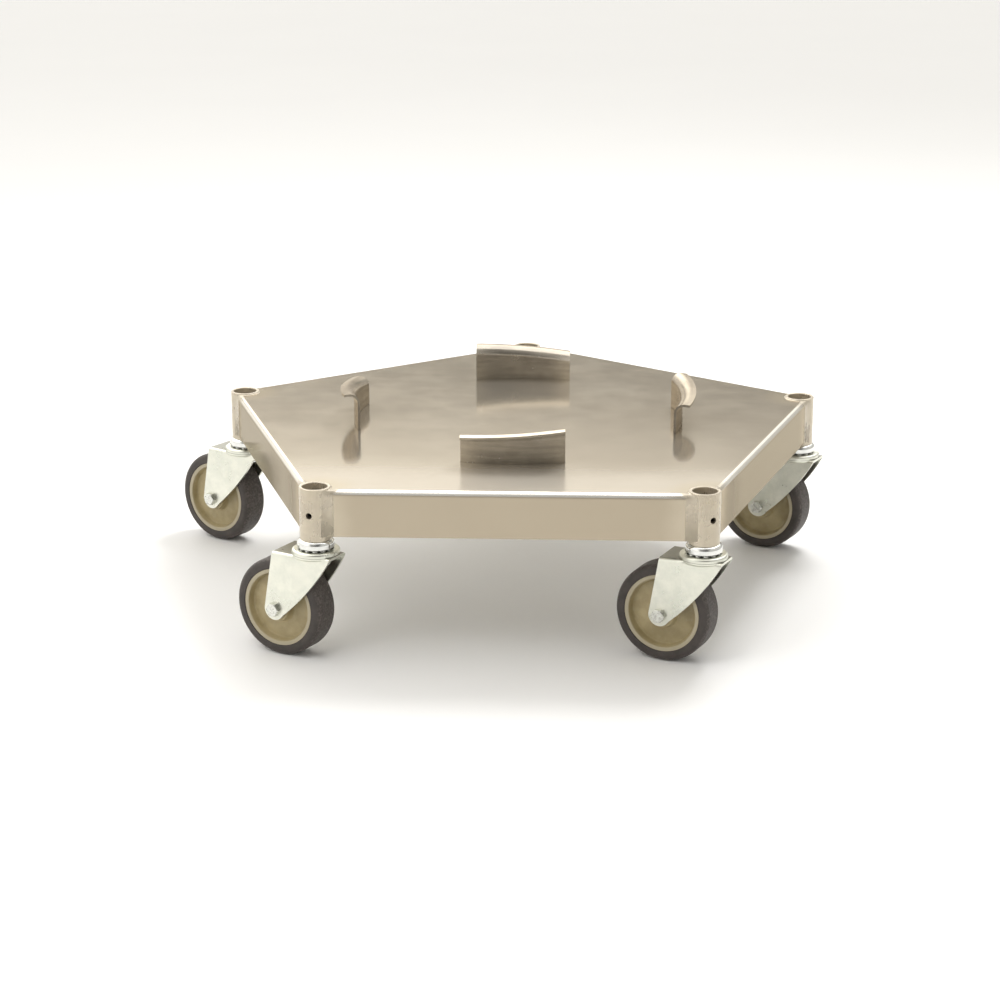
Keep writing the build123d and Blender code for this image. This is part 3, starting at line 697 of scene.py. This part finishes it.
def soft_world():
    """Soft surround: brightest high behind the dolly, dark low before it, brighter to the left."""
    world = bpy.data.worlds.new("studio_world")
    bpy.context.scene.world = world
    world.use_nodes = True
    nodes, link = world.node_tree.nodes, world.node_tree.links.new

    def ramp(source, stops):
        made = nodes.new("ShaderNodeValToRGB")
        link(source, made.inputs[0])
        made.color_ramp.interpolation = "EASE"
        elements = made.color_ramp.elements
        for end, (position, colour) in zip((elements[0], elements[1]), (stops[0], stops[-1])):
            end.position = position
            end.color = (*colour, 1)
        for position, colour in stops[1:-1]:
            elements.new(position).color = (*colour, 1)
        return made.outputs["Color"]

    def mapped(source, low, high, start=0.0, end=1.0, interpolation="SMOOTHSTEP"):
        made = nodes.new("ShaderNodeMapRange")
        made.interpolation_type = interpolation
        link(source, made.inputs["Value"])
        made.inputs["From Min"].default_value = low
        made.inputs["From Max"].default_value = high
        made.inputs["To Min"].default_value = start
        made.inputs["To Max"].default_value = end
        return made.outputs[0]

    def mixed(share, first, second):
        made = nodes.new("ShaderNodeMix")
        made.data_type = "RGBA"
        link(share, made.inputs["Factor"])
        link(first, made.inputs[6])
        link(second, made.inputs[7])
        return made.outputs[2]

    split = nodes.new("ShaderNodeSeparateXYZ")
    link(nodes.new("ShaderNodeTexCoord").outputs["Generated"], split.inputs[0])
    x, y, z = (split.outputs[name] for name in "XYZ")
    sideways = nodes.new("ShaderNodeMath")
    sideways.operation = "ABSOLUTE"
    link(x, sideways.inputs[0])
    along_view = mixed(mapped(y, BEHIND_FROM, BEHIND_TO), ramp(z, BEFORE_STOPS), ramp(z, BEHIND_STOPS))
    flank = mapped(sideways.outputs[0], FLANK_FROM, FLANK_TO)
    scaled = nodes.new("ShaderNodeVectorMath")
    scaled.operation = "SCALE"
    link(mixed(flank, along_view, ramp(z, FLANK_STOPS)), scaled.inputs[0])
    gain = mapped(x, FALLOFF_FROM, FALLOFF_TO, LEFT_GAIN, RIGHT_GAIN, "LINEAR")
    link(gain, scaled.inputs["Scale"])
    background = nodes["Background"]
    link(scaled.outputs[0], background.inputs["Color"])
    background.inputs["Strength"].default_value = WORLD_STRENGTH


def softbox(name, place, aim, width, depth, watts):
    """Rectangular area lamp at a place, turned to a point."""
    light = bpy.data.lights.new(name, "AREA")
    light.shape = "RECTANGLE"
    light.size = width
    light.size_y = depth
    light.energy = watts
    lamp = bpy.data.objects.new(name, light)
    lamp.location = place
    lamp.rotation_euler = (Vector(aim) - Vector(place)).to_track_quat("-Z", "Y").to_euler()
    lamp.visible_camera = False
    bpy.context.scene.collection.objects.link(lamp)
    return lamp


def lights():
    """A key from behind on the right, a weak fill before the left front, a wide panel overhead."""
    key = softbox("key", (0.65, 1.12, 1.95), aim=(0, 0, 0.2), width=0.8, depth=0.8, watts=30)
    key.visible_glossy = False
    fill_place = (-0.35, -0.65, 0.75)
    fill = softbox("near_front", fill_place, aim=(-0.1, -0.2, 0.18), width=0.35, depth=0.35, watts=1.2)
    fill.visible_glossy = False
    panel = softbox("overhead_panel", (0, 1.2, 2.6), aim=(0, 0.6, 0), width=5.0, depth=4.0, watts=110)
    panel.visible_diffuse = False


# The camera stands and aims by angles off the -Y axis and above the level, in degrees, from the
# middle of the sockets' rims
VIEW_AZIMUTH, VIEW_ELEVATION = 1.857, 15.334
VIEW_DISTANCE = 2.7663
AIM_AZIMUTH, AIM_ELEVATION = 2.285, 17.212
SENSOR = 36.0
LENS = 91.0


def bearing(azimuth, elevation):
    """Unit direction at these angles."""
    level = cos(radians(elevation))
    x = level * sin(radians(azimuth))
    y = -level * cos(radians(azimuth))
    return Vector((x, y, sin(radians(elevation))))


def photo_camera():
    """Long-lens view from the front, a little above the deck."""
    data = bpy.data.cameras.new("camera")
    data.sensor_width = SENSOR
    data.lens = LENS
    data.clip_end = 100
    camera = bpy.data.objects.new("camera", data)
    rims = Vector((0, 0, SOCKET_TOP))
    camera.location = rims + bearing(VIEW_AZIMUTH, VIEW_ELEVATION) * VIEW_DISTANCE
    camera.rotation_euler = (-bearing(AIM_AZIMUTH, AIM_ELEVATION)).to_track_quat("-Z", "Y").to_euler()
    bpy.context.scene.collection.objects.link(camera)
    bpy.context.scene.camera = camera


studio()
soft_world()
lights()
photo_camera()
bpy.context.scene.view_settings.view_transform = "Standard"
